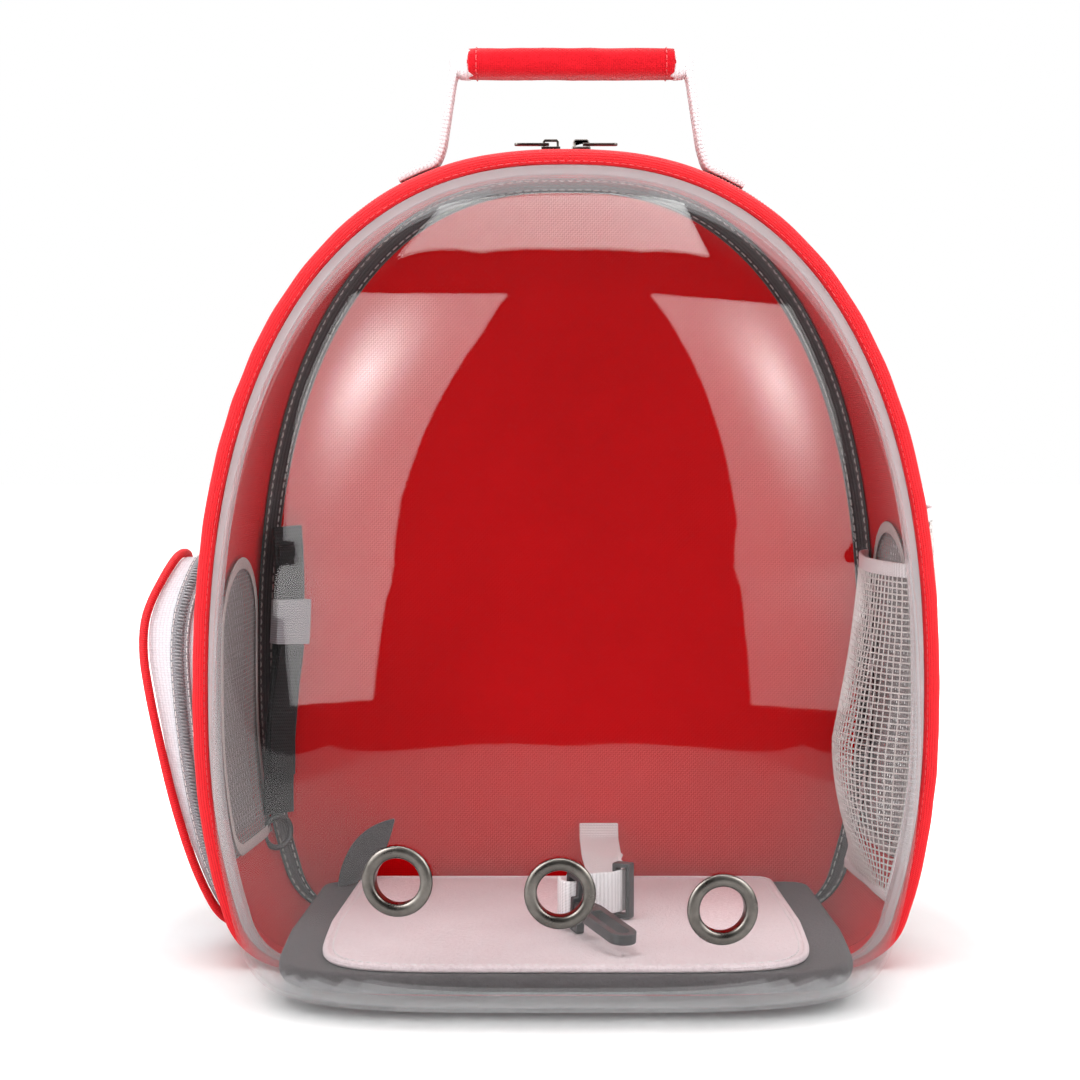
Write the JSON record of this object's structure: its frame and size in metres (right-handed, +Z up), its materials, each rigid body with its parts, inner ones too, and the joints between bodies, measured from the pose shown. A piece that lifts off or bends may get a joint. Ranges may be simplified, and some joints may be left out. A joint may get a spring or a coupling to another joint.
{
  "type": "pet carrier backpack",
  "caption": "Carrier backpack for a small pet, with a clear moulded bubble front sewn to a red fabric body, side windows, net pockets, mat, safety leash and top handle",
  "frame": {"origin": "On the floor, in the middle of the flat fabric base, halfway along the body's depth", "axes": "+Z up, the bubble faces -Y, +X to the right of someone facing the bubble"},
  "size_m": [0.3913, 0.3038, 0.44],
  "materials": {
    "clear_plastic": "clear moulded plastic, glossy",
    "gunmetal": "dark plated metal, polished",
    "red_piping": "bright red binding tape",
    "red_fabric": "red woven fabric",
    "zip_tape": "grey zip tape and coil",
    "zip_red": "dark red zip tape and coil",
    "grey_fabric": "dark grey felt and tape",
    "grey_net": "grey window net",
    "white_net": "white coarse net",
    "white_webbing": "white ribbed webbing",
    "white_fabric": "white woven fabric",
    "mat_plush": "pinkish white plush",
    "black_webbing": "black ribbed webbing",
    "black_plastic": "black moulded plastic"
  },
  "bodies": {
    "carrier": {"bubble_shell": "clear_plastic", "eyelet_left": "gunmetal", "eyelet_middle": "gunmetal", "eyelet_right": "gunmetal", "front_binding": "red_piping", "door_band": "red_fabric", "zip_tape": "zip_red", "hinge_cloth": "red_fabric", "body_wall": "red_fabric", "back_panel": "red_fabric", "rear_binding": "red_piping", "seam_tape": "grey_fabric", "window_net_left": "grey_net", "window_net_right": "grey_net", "net_pocket_inner": "white_net", "net_pocket_outer": "white_net", "net_pocket_hem": "white_webbing", "side_pocket": "white_fabric", "side_pocket_piping": "red_piping", "side_pocket_zip": "zip_tape", "side_pocket_slider": "gunmetal", "floor_board": "red_fabric", "floor_pad": "grey_fabric", "mat": "mat_plush", "carry_webbing": "white_webbing", "carry_grip": "red_fabric", "zip_slider_left": "gunmetal", "zip_slider_right": "gunmetal", "inner_strap": "black_webbing", "inner_ring": "black_plastic", "corner_flap": "grey_fabric", "tether_strap": "white_webbing", "tether_bar": "black_plastic", "tether_eye": "black_plastic", "shoulder_strap_left": "red_fabric", "shoulder_strap_right": "red_fabric", "strap_lock_left": "black_plastic", "strap_lock_right": "black_plastic", "strap_webbing_left": "black_webbing", "strap_webbing_right": "black_webbing"},
    "left_tab": {"zip_tab_left": "gunmetal"},
    "right_tab": {"zip_tab_right": "gunmetal"},
    "hook": {"snap_hook": "black_plastic"}
  },
  "joints": [
    {"name": "left_tab_hinge", "type": "hinge", "parent": "carrier", "child": "left_tab", "pos_m": [-0.0086, -0.0404, 0.39241], "axis": [0, 1, 0], "range_deg": [0, 115]},
    {"name": "right_tab_hinge", "type": "hinge", "parent": "carrier", "child": "right_tab", "pos_m": [0.0086, -0.0404, 0.39241], "axis": [0, -1, 0], "range_deg": [0, 115]},
    {"name": "hook_swivel", "type": "hinge", "parent": "carrier", "child": "hook", "pos_m": [0.006, -0.0865, 0.0369], "axis": [0.4074, -0.9066, -0.1097], "continuous": true}
  ]
}
